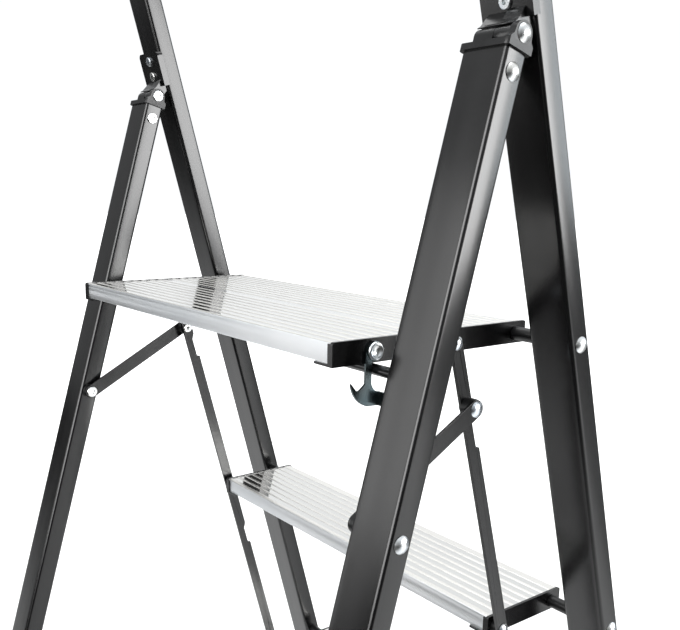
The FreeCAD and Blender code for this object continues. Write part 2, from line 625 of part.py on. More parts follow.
def link_rivet(pivot):
    """Rivet through an end bracket and the link bar; its head is outboard of the link bar."""
    y, z = pivot
    outer = LINK_INNER + LINK_THICK + SLIDE_GAP
    shank = rod_x(TREAD_HALF_LENGTH, outer, y, z, SMALL_SHANK)
    head = dome(outer, y, z, 1, LINK_HEAD_RADIUS, LINK_HEAD_HEIGHT)
    flare = tail(TREAD_HALF_LENGTH, y, z, -1, SMALL_SHANK + 1.2)
    return shank.fuse([head, flare])


def link_spacer(pivot):
    """Spacer between an end bracket and the link bar."""
    return ring(BRACKET_OUTER, LINK_INNER - SLIDE_GAP, pivot[0], pivot[1], SPACER_RADIUS,
                SMALL_SHANK + FIXED)


# ------------------------------------------------------------------ safety hook, -X side only
HOOK_PLATE = 1.8
HOOK_EYE_RADIUS = 7.0
HOOK_STEM = (79.0, 84.4)       # front and rear edges of the stem
HOOK_OUTER = -BRACKET_OUTER - SLIDE_GAP
HOOK_TAB_REACH = 11.0
HOOK_TOE_Y = 71.0              # the toe's front edge, and its height
HOOK_TOE_LOW = 702.6
HOOK_TOE_HIGH = 712.4
HOOK_STEM_LOW = 719.0          # where the stem runs out into the blade
HOOK_HEEL = (82.6, 703.2)      # Y and Z of the blade's other corners
HOOK_TIP = (97.0, 720.8)
HOOK_THROAT_FRONT = (88.4, 715.8)
HOOK_THROAT_REAR = (93.4, 716.6)
HOOK_BACK_BOW = (92.8, 710.0)  # and of the middle of its three curved edges
HOOK_THROAT_BOW = (91.0, 714.9)
HOOK_TOE_BOW = (76.4, 714.4)


def safety_hook():
    """Flat hook that hangs behind the rest bar, with a thumb tab bent outward at its toe."""
    x0 = HOOK_OUTER - HOOK_PLATE
    x1 = HOOK_OUTER
    front, rear = HOOK_STEM
    stem_foot = HOOK_STEM_LOW - 2
    stem = prism_x(x0, x1, [(front, HOOK_Z - 3), (rear, HOOK_Z), (rear, stem_foot), (front, stem_foot)])
    shoulder = prism_x(x0, x1, [(front - 3, HOOK_Z + 2), (rear - 3, HOOK_Z + 4), (rear, HOOK_Z - 6),
                                (front, HOOK_Z - 6)])
    eye = rod_x(x0, x1, HOOK_Y, HOOK_Z, HOOK_EYE_RADIUS)
    tab = block(x0 - HOOK_TAB_REACH, x1, HOOK_TOE_Y, HOOK_TOE_Y + HOOK_PLATE, HOOK_TOE_LOW, HOOK_TOE_HIGH)
    hook = hook_blade(x0, x1).fuse([stem, shoulder, eye, tab])
    return hook.cut(rod_x(x0 - 1, x1 + 1, HOOK_Y, HOOK_Z, SHANK_RADIUS + RUNNING)).removeSplitter()


def hook_blade(x0, x1):
    """Lower part of the hook: pointed bill to the rear, short toe to the front."""
    def at(point):
        return V(x0, point[0], point[1])

    toe_low = at((HOOK_TOE_Y, HOOK_TOE_LOW))
    toe_high = at((HOOK_TOE_Y, HOOK_TOE_HIGH))
    stem_front = at((HOOK_STEM[0], HOOK_STEM_LOW))
    stem_rear = at((HOOK_STEM[1], HOOK_STEM_LOW))
    outline = Part.Wire([
        Part.Arc(at(HOOK_TIP), at(HOOK_BACK_BOW), at(HOOK_HEEL)).toShape(),
        Part.makeLine(at(HOOK_HEEL), toe_low),
        Part.makeLine(toe_low, toe_high),
        Part.Arc(toe_high, at(HOOK_TOE_BOW), stem_front).toShape(),
        Part.makeLine(stem_front, stem_rear),
        Part.makeLine(stem_rear, at(HOOK_THROAT_FRONT)),
        Part.Arc(at(HOOK_THROAT_FRONT), at(HOOK_THROAT_BOW), at(HOOK_THROAT_REAR)).toShape(),
        Part.makeLine(at(HOOK_THROAT_REAR), at(HOOK_TIP)),
    ])
    return Part.Face(outline).extrude(V(x1 - x0, 0, 0))


def hook_rivet():
    """Shouldered rivet that carries the hook, set flush in the platform's end bracket."""
    x_head = HOOK_OUTER - HOOK_PLATE - SLIDE_GAP
    shank = rod_x(x_head, -TREAD_HALF_LENGTH, HOOK_Y, HOOK_Z, SHANK_RADIUS)
    head = rod_x(x_head - 1.6, x_head, HOOK_Y, HOOK_Z, 6.6)
    rim = [edge for edge in head.Edges
           if len(edge.Vertexes) == 1 and edge.CenterOfMass.x < x_head - 1]
    head = head.makeFillet(0.8, rim)
    dish = rod_x(x_head - 2, x_head + 1, HOOK_Y, HOOK_Z, 3.2)
    return shank.fuse(head).cut(dish)


# ------------------------------------------------------------------ assembly
def save_pair(name, right):
    """Write a right-hand node and its mirror image. Left is -X, seen from the climbing side."""
    save(name + "_right", right)
    save(name + "_left", mirrored(right))


def save_front_frame():
    """Rails, handrail, feet, hinge brackets and the fixed parts of the tread pivots."""
    save_pair("front_rail", front_rail())
    save_pair("handle_corner", handle_corner())
    save("handle_tube", handle_tube())
    save("handle_grip", handle_grip())
    save_pair("front_foot", foot(RAIL_LOW, -1, on_front))
    save("hinge_bracket_right", hinge_bracket(RAIL_X))
    save("hinge_bracket_left", hinge_bracket(-RAIL_X))
    fasteners = [bracket_rivet(RAIL_X, rise) for rise in BRACKET_RIVETS]
    save("hinge_bracket_rivets", both_sides(fasteners))
    save("tread_pivot_rivets", both_sides([tread_pivot_rivet(pivot) for pivot in PIVOTS]))
    save("tread_pivot_spacers", both_sides([tread_pivot_spacer(pivot) for pivot in PIVOTS]))


def save_rear_frame():
    """Legs, caps, feet, cross members and the fixed parts of the brace pivots."""
    save_pair("rear_leg", rear_leg())
    save_pair("rear_foot", foot(LEG_LOW, 1, on_rear))
    save("leg_cap_right", leg_cap(RAIL_X))
    save("leg_cap_left", leg_cap(-RAIL_X))
    drop_y = HINGE_Y + CAP_RIVET_DROP * SIN
    drop_z = HINGE_Z - CAP_RIVET_DROP * COS
    save("leg_cap_rivets", both_sides([rivet(RAIL_OUTER, RAIL_INNER, drop_y, drop_z)]))
    right_pin = rivet(RAIL_X + BARREL_X[1], RAIL_X + EAR_X[0], HINGE_Y, HINGE_Z)
    left_pin = rivet(-RAIL_X + EAR_X[0], -RAIL_X + BARREL_X[1], HINGE_Y, HINGE_Z)
    save("hinge_pivot_rivets", Part.makeCompound([right_pin, left_pin]))
    save("rest_bar", rest_bar())
    save("rear_stretcher", rear_stretcher())
    save("brace_foot_rivets", both_sides([brace_foot_rivet()]))
    save("brace_washers", both_sides([brace_washer()]))


def save_step(name, pivot, link_pivot):
    """One lower tread with its end brackets and its half of the linkage pivots."""
    top = pivot[1] + PIVOT_BELOW_TOP
    nose = tread_nose(pivot)
    places = fixing_places(nose, TREAD_DEPTH)
    save(name + "_plank", bored_plank(TREAD_DEPTH, STEP_GROOVE, nose, top, places))
    holes = [(pivot[0], pivot[1], SHANK_RADIUS + RUNNING),
             (link_pivot[0], link_pivot[1], SMALL_SHANK + FIXED)]
    save_pair(name + "_bracket", tread_bracket(nose, TREAD_DEPTH, top, holes, places))
    save(name + "_fixings", both_sides([fixing(y, top - BRACKET_DROP) for y in places]))
    save(name + "_link_rivets", both_sides([link_rivet(link_pivot)]))
    save(name + "_link_spacers", both_sides([link_spacer(link_pivot)]))


def save_platform():
    """The platform's two planks, its end brackets, its link pivots and the hook's rivet."""
    pivot = PLATFORM_PIVOT
    link_pivot = LINK_PIVOTS[0]
    nose = tread_nose(pivot)
    rear_nose = nose + FRONT_PLANK_DEPTH + PLANK_GAP
    depth = FRONT_PLANK_DEPTH + PLANK_GAP + TREAD_DEPTH
    front_places = fixing_places(nose, FRONT_PLANK_DEPTH)
    rear_places = fixing_places(rear_nose, TREAD_DEPTH)
    flat = block(-TREAD_HALF_LENGTH - 1, TREAD_HALF_LENGTH + 1, rear_nose - SEAM_FLAT_FRONT - PLANK_GAP,
                 rear_nose + SEAM_FLAT_REAR, PLATFORM_TOP - GROOVE_DEPTH, PLATFORM_TOP + 1)
    front = bored_plank(FRONT_PLANK_DEPTH, FRONT_GROOVE, nose, PLATFORM_TOP, front_places)
    rear = bored_plank(TREAD_DEPTH, REAR_GROOVE, rear_nose, PLATFORM_TOP, rear_places)
    save("platform_front_plank", front.cut(flat))
    save("platform_rear_plank", rear.cut(flat))
    holes = [(pivot[0], pivot[1], SHANK_RADIUS + RUNNING),
             (link_pivot[0], link_pivot[1], SMALL_SHANK + FIXED)]
    places = front_places + rear_places
    bracket = tread_bracket(nose, depth, PLATFORM_TOP, holes, places)
    hook_hole = rod_x(TREAD_HALF_LENGTH - 1, BRACKET_OUTER + 1, HOOK_Y, HOOK_Z, SHANK_RADIUS + FIXED)
    save("platform_bracket_right", bracket)
    save("platform_bracket_left", mirrored(bracket.cut(hook_hole)))
    low = PLATFORM_TOP - BRACKET_DROP
    save("platform_fixings", both_sides([fixing(y, low) for y in places]))
    save("platform_link_rivets", both_sides([link_rivet(link_pivot)]))
    save("platform_link_spacers", both_sides([link_spacer(link_pivot)]))
    save("hook_rivet", hook_rivet())


def save_linkage():
    """Link bars, braces and the hook."""
    save_pair("link_bar", link_bar())
    save("brace_pins", both_sides([brace_top_pin()]))
    save("brace_bushings", both_sides([brace_bushing()]))
    save_pair("brace", brace())
    save("brace_pin_heads", both_sides([brace_top_head()]))
    save("safety_hook", safety_hook())


os.makedirs("parts", exist_ok=True)
save_front_frame()
save_rear_frame()
save_platform()
save_step("upper_step", UPPER_PIVOT, LINK_PIVOTS[1])
save_step("lower_step", LOWER_PIVOT, LINK_PIVOTS[2])
save_linkage()
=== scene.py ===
import math

import bmesh
import bpy
from mathutils import Matrix, Vector


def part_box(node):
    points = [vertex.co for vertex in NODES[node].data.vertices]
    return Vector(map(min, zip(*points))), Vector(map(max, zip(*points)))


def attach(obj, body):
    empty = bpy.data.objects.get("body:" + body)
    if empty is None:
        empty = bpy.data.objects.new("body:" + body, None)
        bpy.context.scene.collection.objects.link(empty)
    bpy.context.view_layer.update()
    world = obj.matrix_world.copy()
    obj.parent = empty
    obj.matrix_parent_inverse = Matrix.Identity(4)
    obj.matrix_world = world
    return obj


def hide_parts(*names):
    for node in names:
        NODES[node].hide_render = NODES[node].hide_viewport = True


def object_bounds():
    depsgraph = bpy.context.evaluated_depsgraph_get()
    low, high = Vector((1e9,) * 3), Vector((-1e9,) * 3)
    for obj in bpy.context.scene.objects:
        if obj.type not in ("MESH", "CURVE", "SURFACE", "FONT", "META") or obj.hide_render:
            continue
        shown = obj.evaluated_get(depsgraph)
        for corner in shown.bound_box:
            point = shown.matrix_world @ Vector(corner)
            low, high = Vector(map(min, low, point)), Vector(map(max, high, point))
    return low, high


# Folding step ladder with three ribbed aluminium treads. Metres; the CAD gives every place.
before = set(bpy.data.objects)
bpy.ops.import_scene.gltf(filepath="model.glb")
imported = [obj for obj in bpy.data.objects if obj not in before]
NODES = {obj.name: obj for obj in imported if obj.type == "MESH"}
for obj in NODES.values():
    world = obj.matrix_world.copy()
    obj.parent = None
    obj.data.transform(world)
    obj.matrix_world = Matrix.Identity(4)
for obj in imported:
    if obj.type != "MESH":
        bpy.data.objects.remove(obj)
CAD_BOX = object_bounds()

# ------------------------------------------------------------------ camera and stage
CAMERA_PLACE = (-0.6513, 0.4484, 0.8482)
CAMERA_YAW = 51.865            # turn of the view from -Y towards +X, degrees
CAMERA_PITCH = -10.54
CAMERA_ROLL = 1.009
CAMERA_LENS = 44.77
CAMERA_SHIFT = 0.0515


def make_camera():
    """Camera at the photograph's viewing angle."""
    yaw = math.radians(CAMERA_YAW)
    pitch = math.radians(CAMERA_PITCH)
    forward = Vector((math.sin(yaw) * math.cos(pitch), -math.cos(yaw) * math.cos(pitch),
                      math.sin(pitch)))
    level = forward.cross(Vector((0, 0, 1))).normalized()
    upright = level.cross(forward)
    roll = math.radians(CAMERA_ROLL)
    right = math.cos(roll) * level + math.sin(roll) * upright
    up = math.cos(roll) * upright - math.sin(roll) * level
    turn = Matrix((right, up, -forward)).transposed().to_4x4()
    data = bpy.data.cameras.new("camera")
    data.lens = CAMERA_LENS
    data.shift_y = CAMERA_SHIFT
    camera = bpy.data.objects.new("camera", data)
    camera.matrix_world = Matrix.Translation(CAMERA_PLACE) @ turn
    bpy.context.scene.collection.objects.link(camera)
    bpy.context.scene.camera = camera


def area_light(name, place, target, width, height, radiance, colour):
    """Rectangular soft light that faces a point."""
    data = bpy.data.lights.new(name, "AREA")
    data.shape = "RECTANGLE"
    data.size = width
    data.size_y = height
    data.energy = radiance * math.pi * width * height
    data.color = colour
    light = bpy.data.objects.new(name, data)
    light.location = place
    light.rotation_euler = (Vector(target) - Vector(place)).to_track_quat("-Z", "Y").to_euler()
    bpy.context.scene.collection.objects.link(light)


WHITE = (1, 1, 1)
COOL = (0.87, 0.95, 1.0)
SOFT_BOXES = (
    # name, place, point it faces, width, height, radiance, colour
    ("left_box", (-2.9, -1.7, 1.25), (0, 0, 0.9), 1.75, 1.4, 10.8, WHITE),
    ("left_front_box", (-1.95, -2.8, 1.5), (0, 0, 0.95), 1.0, 1.3, 4.1, COOL),
    ("rear_wall", (-0.45, 3.1, 1.7), (-0.2, 0, 0.9), 2.6, 2.7, 7.0, WHITE),
    ("rear_soft_box", (1.22, 1.84, 1.17), (-0.26, 0.08, 0.8), 0.9, 1.25, 2.25, WHITE),
    ("low_rear_box", (2.2, 2.0, 0.27), (0, 0, 0.65), 0.8, 0.45, 1.5, WHITE),
    ("top_box", (0.2, -0.3, 3.6), (0, 0, 0.5), 3.2, 3.2, 2.2, WHITE),
)


def make_lights():
    """Every soft box round the ladder."""
    for box in SOFT_BOXES:
        area_light(*box)


SKY_COLOUR = (0.97, 0.985, 1.0, 1.0)
SKY_IN_FRONT = 1.0             # strength on the climbing side, at the horizon
SKY_BEHIND = 0.30
SKY_ABOVE = 0.95
SKY_SEEN = 1.05                # strength that the camera sees


def make_surround():
    """Surround that is pale on the climbing side and above, and plain white to the camera."""
    world = bpy.data.worlds.new("surround")
    bpy.context.scene.world = world
    world.use_nodes = True
    tree = world.node_tree
    sky = tree.nodes["Background"]
    path = tree.nodes.new("ShaderNodeLightPath")
    place = tree.nodes.new("ShaderNodeTexCoord")
    split = tree.nodes.new("ShaderNodeSeparateXYZ")
    tree.links.new(place.outputs["Generated"], split.inputs[0])
    around = spread(tree, split.outputs["Y"], SKY_IN_FRONT, SKY_BEHIND, -0.35, 0.05)
    above = spread(tree, split.outputs["Z"], 0.0, 1.0)
    strength = tree.nodes.new("ShaderNodeMix")
    tree.links.new(above, strength.inputs[0])
    tree.links.new(around, strength.inputs[2])
    strength.inputs[3].default_value = SKY_ABOVE
    shown = tree.nodes.new("ShaderNodeMix")
    tree.links.new(path.outputs["Is Camera Ray"], shown.inputs[0])
    tree.links.new(strength.outputs[0], shown.inputs[2])
    shown.inputs[3].default_value = SKY_SEEN
    tree.links.new(shown.outputs[0], sky.inputs["Strength"])
    sky.inputs["Color"].default_value = SKY_COLOUR


def skewed(tree, split, along_y, along_x):
    """Sum of the split X and Y, each times a factor."""
    parts = []
    for axis, factor in (("Y", along_y), ("X", along_x)):
        part = tree.nodes.new("ShaderNodeMath")
        part.operation = "MULTIPLY"
        part.inputs[1].default_value = factor
        tree.links.new(split.outputs[axis], part.inputs[0])
        parts.append(part)
    total = tree.nodes.new("ShaderNodeMath")
    for index, part in enumerate(parts):
        tree.links.new(part.outputs["Value"], total.inputs[index])
    return total.outputs["Value"]


def painted_floor_shade(tree, place):
    """Reflected share of light, with painted shade: darker far behind the ladder and far in front of it.
    """
    split = tree.nodes.new("ShaderNodeSeparateXYZ")
    tree.links.new(place, split.inputs[0])
    behind = skewed(tree, split, 1.0, -0.25)
    before = skewed(tree, split, -1.0, 0.5)
    shade = tree.nodes.new("ShaderNodeMath")
    shade.operation = "MULTIPLY"
    tree.links.new(spread(tree, behind, 0.72, 0.02, 0.12, 0.70), shade.inputs[0])
    tree.links.new(spread(tree, before, 1.0, 0.25, 0.35, 0.95), shade.inputs[1])
    return mix_colours(tree, shade.outputs["Value"], (0, 0, 0), (1, 1, 1))


def floor_glow(tree, place, seen):
    """Glow that only the camera sees, which fades the floor into the white surround."""
    distance = tree.nodes.new("ShaderNodeVectorMath")
    distance.operation = "LENGTH"
    tree.links.new(place, distance.inputs[0])
    glow = tree.nodes.new("ShaderNodeMath")
    glow.operation = "MULTIPLY"
    tree.links.new(spread(tree, distance.outputs["Value"], 0.12, 1.0, 0.6, 3.5), glow.inputs[0])
    tree.links.new(seen, glow.inputs[1])
    return glow.outputs["Value"]


FLOOR_RADIUS = 30.0
FLOOR_TONE = (0.8, 0.8, 0.8)


def make_floor():
    """Plain pale floor."""
    mesh = bpy.data.meshes.new("floor")
    shape = bmesh.new()
    bmesh.ops.create_circle(shape, cap_ends=True, radius=FLOOR_RADIUS, segments=96)
    shape.to_mesh(mesh)
    shape.free()
    floor = bpy.data.objects.new("floor", mesh)
    floor.location = (0, 0, CAD_BOX[0].z)
    bpy.context.scene.collection.objects.link(floor)
    material, tree, shader = new_material("pale_floor")
    place = tree.nodes.new("ShaderNodeTexCoord").outputs["Object"]
    seen = tree.nodes.new("ShaderNodeLightPath").outputs["Is Camera Ray"]
    # The camera sees the even floor tone; reflections and bounced light see the floor's painted shade.
    tone = mix_colours(tree, seen, painted_floor_shade(tree, place), FLOOR_TONE)
    tree.links.new(tone, shader.inputs["Base Color"])
    tree.links.new(floor_glow(tree, place, seen), shader.inputs["Emission Strength"])
    shader.inputs["Emission Color"].default_value = (1, 1, 1, 1)
    shader.inputs["Roughness"].default_value = 1.0
    shader.inputs["Specular IOR Level"].default_value = 0.1
    mesh.materials.append(material)


# ------------------------------------------------------------------ materials
def new_material(name):
    """Node material: the material, its tree and its main shader."""
    material = bpy.data.materials.new(name)
    material.use_nodes = True
    return material, material.node_tree, material.node_tree.nodes["Principled BSDF"]


def noise(tree, scale, detail=3.0, grain=(1, 1, 1), lean=0.0):
    """Noise in the object's own coordinates, drawn out by a factor along each leaning axis."""
    place = tree.nodes.new("ShaderNodeTexCoord")
    mapping = tree.nodes.new("ShaderNodeMapping")
    mapping.vector_type = "TEXTURE"
    mapping.inputs["Rotation"].default_value = (lean, 0, 0)
    mapping.inputs["Scale"].default_value = grain
    texture = tree.nodes.new("ShaderNodeTexNoise")
    texture.inputs["Scale"].default_value = scale
    texture.inputs["Detail"].default_value = detail
    tree.links.new(place.outputs["Object"], mapping.inputs["Vector"])
    tree.links.new(mapping.outputs["Vector"], texture.inputs["Vector"])
    return texture.outputs["Fac"]


def spread(tree, value, low, high, start=0.3, end=0.7):
    """A value mapped from start and end to low and high."""
    ramp = tree.nodes.new("ShaderNodeMapRange")
    ramp.inputs["From Min"].default_value = start
    ramp.inputs["From Max"].default_value = end
    ramp.inputs["To Min"].default_value = low
    ramp.inputs["To Max"].default_value = high
    tree.links.new(value, ramp.inputs["Value"])
    return ramp.outputs["Result"]


def mix_colours(tree, factor, first, second):
    """Mix of two colours, each a fixed colour or the output of a node."""
    mix = tree.nodes.new("ShaderNodeMix")
    mix.data_type = "RGBA"
    tree.links.new(factor, mix.inputs[0])
    for socket, colour in ((mix.inputs[6], first), (mix.inputs[7], second)):
        if isinstance(colour, tuple):
            socket.default_value = (*colour, 1)
        else:
            tree.links.new(colour, socket)
    return mix.outputs[2]


def blend(tree, value, first, second, start=0.35, end=0.65):
    """A value mapped to a blend of two colours."""
    return mix_colours(tree, spread(tree, value, 0.0, 1.0, start, end), first, second)


def bump(tree, height, strength, distance):
    """Bump from a height value."""
    node = tree.nodes.new("ShaderNodeBump")
    node.inputs["Strength"].default_value = strength
    node.inputs["Distance"].default_value = distance
    tree.links.new(height, node.inputs["Height"])
    return node.outputs["Normal"]


def powder_coat(name="black_powder_coat", lean=0.0):
    """Satin black powder coat: faint mottling, fine orange peel, and the long waves of the tube."""
    material, tree, shader = new_material(name)
    mottle = noise(tree, 45.0, 4.0)
    tree.links.new(blend(tree, mottle, (0.0018, 0.0018, 0.0019), (0.0032, 0.0032, 0.0034)),
                   shader.inputs["Base Color"])
    streaks = noise(tree, 45.0, 1.0, (1, 1, 80), lean)
    tree.links.new(spread(tree, streaks, 0.19, 0.25), shader.inputs["Roughness"])
    waves = bump(tree, streaks, 0.35, 0.0003)
    peel = bump(tree, noise(tree, 900.0, 1.0), 0.05, 0.0002)
    tree.links.new(waves, peel.node.inputs["Normal"])
    tree.links.new(peel, shader.inputs["Normal"])
    shader.inputs["IOR"].default_value = 1.55
    return material


def aluminium(name, roughness, tone, dark_tone):
    """Mill-finish extrusion with die lines along X."""
    material, tree, shader = new_material(name)
    cloud = noise(tree, 14.0, 3.0, (3, 1, 1))
    tree.links.new(blend(tree, cloud, dark_tone, tone), shader.inputs["Base Color"])
    shader.inputs["Metallic"].default_value = 1.0
    lines = noise(tree, 500.0, 2.0, (200, 1, 1))
    tree.links.new(spread(tree, lines, roughness * 0.8, roughness * 1.2), shader.inputs["Roughness"])
    tree.links.new(bump(tree, lines, 0.25, 0.00002), shader.inputs["Normal"])
    return material


def zinc(name, pale, dark, roughness):
    """Zinc plating with a faint blue and straw cast."""
    material, tree, shader = new_material(name)
    cast = noise(tree, 60.0, 2.0)
    tree.links.new(blend(tree, cast, dark, pale), shader.inputs["Base Color"])
    shader.inputs["Metallic"].default_value = 1.0
    polish = noise(tree, 90.0)
    tree.links.new(spread(tree, polish, roughness * 0.85, roughness * 1.15), shader.inputs["Roughness"])
    tree.links.new(bump(tree, noise(tree, 600.0, 1.0), 0.08, 0.00005), shader.inputs["Normal"])
    return material


def moulded_plastic():
    """Black moulded plastic with a fine grain."""
    material, tree, shader = new_material("moulded_plastic")
    tree.links.new(blend(tree, noise(tree, 60.0), (0.003, 0.003, 0.0032), (0.005, 0.005, 0.0053)),
                   shader.inputs["Base Color"])
    tree.links.new(spread(tree, noise(tree, 40.0), 0.28, 0.38), shader.inputs["Roughness"])
    shader.inputs["Specular IOR Level"].default_value = 0.36
    tree.links.new(bump(tree, noise(tree, 1800.0, 2.0), 0.2, 0.0003), shader.inputs["Normal"])
    return material


def foot_rubber():
    """Dull black rubber of the feet."""
    material, tree, shader = new_material("foot_rubber")
    tree.links.new(blend(tree, noise(tree, 50.0), (0.016, 0.016, 0.016), (0.026, 0.025, 0.025)),
                   shader.inputs["Base Color"])
    tree.links.new(spread(tree, noise(tree, 80.0), 0.62, 0.8), shader.inputs["Roughness"])
    tree.links.new(bump(tree, noise(tree, 1200.0, 3.0), 0.25, 0.0003), shader.inputs["Normal"])
    return material


def grip_foam():
    """Closed-cell foam sleeve of the handrail."""
    material, tree, shader = new_material("grip_foam")
    tree.links.new(blend(tree, noise(tree, 70.0), (0.020, 0.020, 0.021), (0.032, 0.031, 0.031)),
                   shader.inputs["Base Color"])
    shader.inputs["Roughness"].default_value = 0.85
    shader.inputs["Sheen Weight"].default_value = 0.15
    place = tree.nodes.new("ShaderNodeTexCoord")
    cells = tree.nodes.new("ShaderNodeTexVoronoi")
    cells.inputs["Scale"].default_value = 900.0
    tree.links.new(place.outputs["Object"], cells.inputs["Vector"])
    tree.links.new(bump(tree, cells.outputs["Distance"], 0.5, 0.0004), shader.inputs["Normal"])
    return material


RIB_METAL = aluminium("aluminium_ribs", 0.34, (0.86, 0.85, 0.815), (0.83, 0.82, 0.79))
FLAT_METAL = aluminium("aluminium_flats", 0.08, (0.80, 0.80, 0.78), (0.77, 0.77, 0.755))
LIP_METAL = aluminium("aluminium_lips", 0.38, (0.91, 0.925, 0.935), (0.77, 0.80, 0.825))
LEAN = math.radians(15.5)
FRONT_COAT = powder_coat("black_powder_coat_front", -LEAN)
REAR_COAT = powder_coat("black_powder_coat_rear", LEAN)
MATERIALS = {
    "black_steel": powder_coat(),
    "aluminium": LIP_METAL,
    "zinc": zinc("zinc_plate", (0.78, 0.78, 0.75), (0.66, 0.71, 0.76), 0.28),
    "black_plastic": moulded_plastic(),
    "grip_foam": grip_foam(),
}


def dress_nodes():
    """Give every CAD node the finish of its record slot."""
    for node in NODES.values():
        for slot in node.material_slots:
            slot.material = MATERIALS[slot.material.name]
    rubber = foot_rubber()
    for name in ("front_foot_left", "front_foot_right", "rear_foot_left", "rear_foot_right"):
        NODES[name].material_slots[0].material = rubber
    hook_metal = zinc("hook_plate", (0.13, 0.155, 0.16), (0.09, 0.12, 0.13), 0.24)
    NODES["safety_hook"].material_slots[0].material = hook_metal


SHEET_NODES = ("platform_bracket_left", "platform_bracket_right", "upper_step_bracket_left",
               "upper_step_bracket_right", "lower_step_bracket_left", "lower_step_bracket_right",
               "link_bar_left", "link_bar_right", "brace_left", "brace_right",
               "hinge_bracket_left", "hinge_bracket_right")
MOULDED_NODES = ("leg_cap_left", "leg_cap_right", "front_foot_left", "front_foot_right",
                 "rear_foot_left", "rear_foot_right", "handle_corner_left", "handle_corner_right")
MERGE_DISTANCE = 0.00001
SHEET_EDGE = 0.0003
MOULDED_EDGE = 0.0005


def soften(node, width):
    """Small rounding on every sharp edge of a CAD node."""
    weld = NODES[node].modifiers.new("weld", "WELD")
    weld.merge_threshold = MERGE_DISTANCE
    bevel = NODES[node].modifiers.new("rounded_edges", "BEVEL")
    bevel.width = width
    bevel.segments = 3
    bevel.limit_method = "ANGLE"
    bevel.angle_limit = math.radians(40)
    bevel.harden_normals = True


def soften_nodes():
    """Cut edges of the sheet parts, and the softer edges of the mouldings."""
    for node in SHEET_NODES:
        soften(node, SHEET_EDGE)
    for node in MOULDED_NODES:
        soften(node, MOULDED_EDGE)


# ------------------------------------------------------------------ pieces
def add_piece(name, shape, materials, body, node):
    """Turn a bmesh into a smooth piece that rides on a body and stands for a CAD node."""
    bmesh.ops.recalc_face_normals(shape, faces=shape.faces)
    mesh = bpy.data.meshes.new(name)
    shape.to_mesh(mesh)
    shape.free()
    for material in materials:
        mesh.materials.append(material)
    mesh.shade_smooth()
    mesh.set_sharp_from_angle(angle=math.radians(40))
    piece = bpy.data.objects.new(name, mesh)
    bpy.context.scene.collection.objects.link(piece)
    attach(piece, body)
    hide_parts(node)


def bridge(shape, first, second):
    """Quads between two closed rings of vertices."""
    for index in range(len(first)):
        after = (index + 1) % len(first)
        shape.faces.new((first[index], first[after], second[after], second[index]))


# ------------------------------------------------------------------ rails and legs
TUBE_HALF_WIDE = 0.020
TUBE_HALF_DEEP = 0.010
TUBE_CORNER = 0.003
CROWN_WIDE = 0.00025           # the drawn tube's faces bulge a little
CROWN_DEEP = 0.00010


def tube_outline(arc_steps=8, face_steps=10):
    """Rounded rectangle with crowned faces: offsets across and along the tube's depth."""
    wide = TUBE_HALF_WIDE - CROWN_WIDE - TUBE_CORNER
    deep = TUBE_HALF_DEEP - CROWN_DEEP - TUBE_CORNER
    sides = ((wide, deep, 0), (-wide, deep, 1), (-wide, -deep, 2), (wide, -deep, 3))
    points = []
    for index, (across, depth, turn) in enumerate(sides):
        for step in range(arc_steps + 1):
            angle = math.pi / 2 * (turn + step / arc_steps)
            points.append((across + TUBE_CORNER * math.cos(angle), depth + TUBE_CORNER * math.sin(angle)))
        start = points[-1]
        bulge = CROWN_DEEP if turn % 2 == 0 else CROWN_WIDE
        next_across, next_depth, _ = sides[(index + 1) % 4]
        shift_across = next_across - across
        shift_depth = next_depth - depth
        outward = math.pi / 2 * (turn + 1)
        for step in range(1, face_steps):
            share = step / face_steps
            rise = bulge * (1 - (2 * share - 1) ** 2)
            points.append((start[0] + shift_across * share + rise * math.cos(outward),
                           start[1] + shift_depth * share + rise * math.sin(outward)))
    return points


def make_tube(node, body, leans_back, material):
    """Rail or leg along its lean, between the ends of its CAD node."""
    low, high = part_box(node)
    level = TUBE_HALF_DEEP * math.cos(LEAN)
    rise = TUBE_HALF_DEEP * math.sin(LEAN)
    foot_y, head_y = low.y + level, high.y - level
    if leans_back:
        foot_y, head_y = high.y - level, low.y + level
    middle = (low.x + high.x) / 2
    ends = (Vector((middle, foot_y, low.z + rise)), Vector((middle, head_y, high.z - rise)))
    across = Vector((1, 0, 0))
    depth = across.cross((ends[1] - ends[0]).normalized())
    shape = bmesh.new()
    rings = []
    for end in ends:
        rings.append([shape.verts.new(end + across * x + depth * y) for x, y in tube_outline()])
    bridge(shape, *rings)
    for ring in rings:
        shape.faces.new(ring)
    add_piece(node + "_tube", shape, [material], body, node)


# ------------------------------------------------------------------ rivets
def parts_of(node):
    """Corners of the boxes round a CAD node's separate solids."""
    shape = bmesh.new()
    shape.from_mesh(NODES[node].data)
    bmesh.ops.remove_doubles(shape, verts=shape.verts, dist=MERGE_DISTANCE)
    boxes = []
    for seed in shape.verts:
        if seed.tag:
            continue
        seed.tag = True
        group = [seed]
        for vert in group:
            for edge in vert.link_edges:
                other = edge.other_vert(vert)
                if not other.tag:
                    other.tag = True
                    group.append(other)
        places = [vert.co for vert in group]
        low = Vector([min(place[axis] for place in places) for axis in range(3)])
        high = Vector([max(place[axis] for place in places) for axis in range(3)])
        boxes.append((low, high))
    shape.free()
    return boxes


def lathe(shape, profile, start, inward, steps=48):
    """Turn a profile of radius and depth pairs round an axis along X that goes inward from a place."""
    side = Vector((0, 1, 0))
    other = inward.cross(side)
    before = None
    for radius, depth in profile:
        centre = start + inward * depth
        ring = []
        for step in range(steps):
            angle = 2 * math.pi * step / steps
            spoke = side * math.cos(angle) + other * math.sin(angle)
            ring.append(shape.verts.new(centre + spoke * radius))
        if before:
            bridge(shape, before, ring)
        else:
            shape.faces.new(ring)
        before = ring
    shape.faces.new(before)


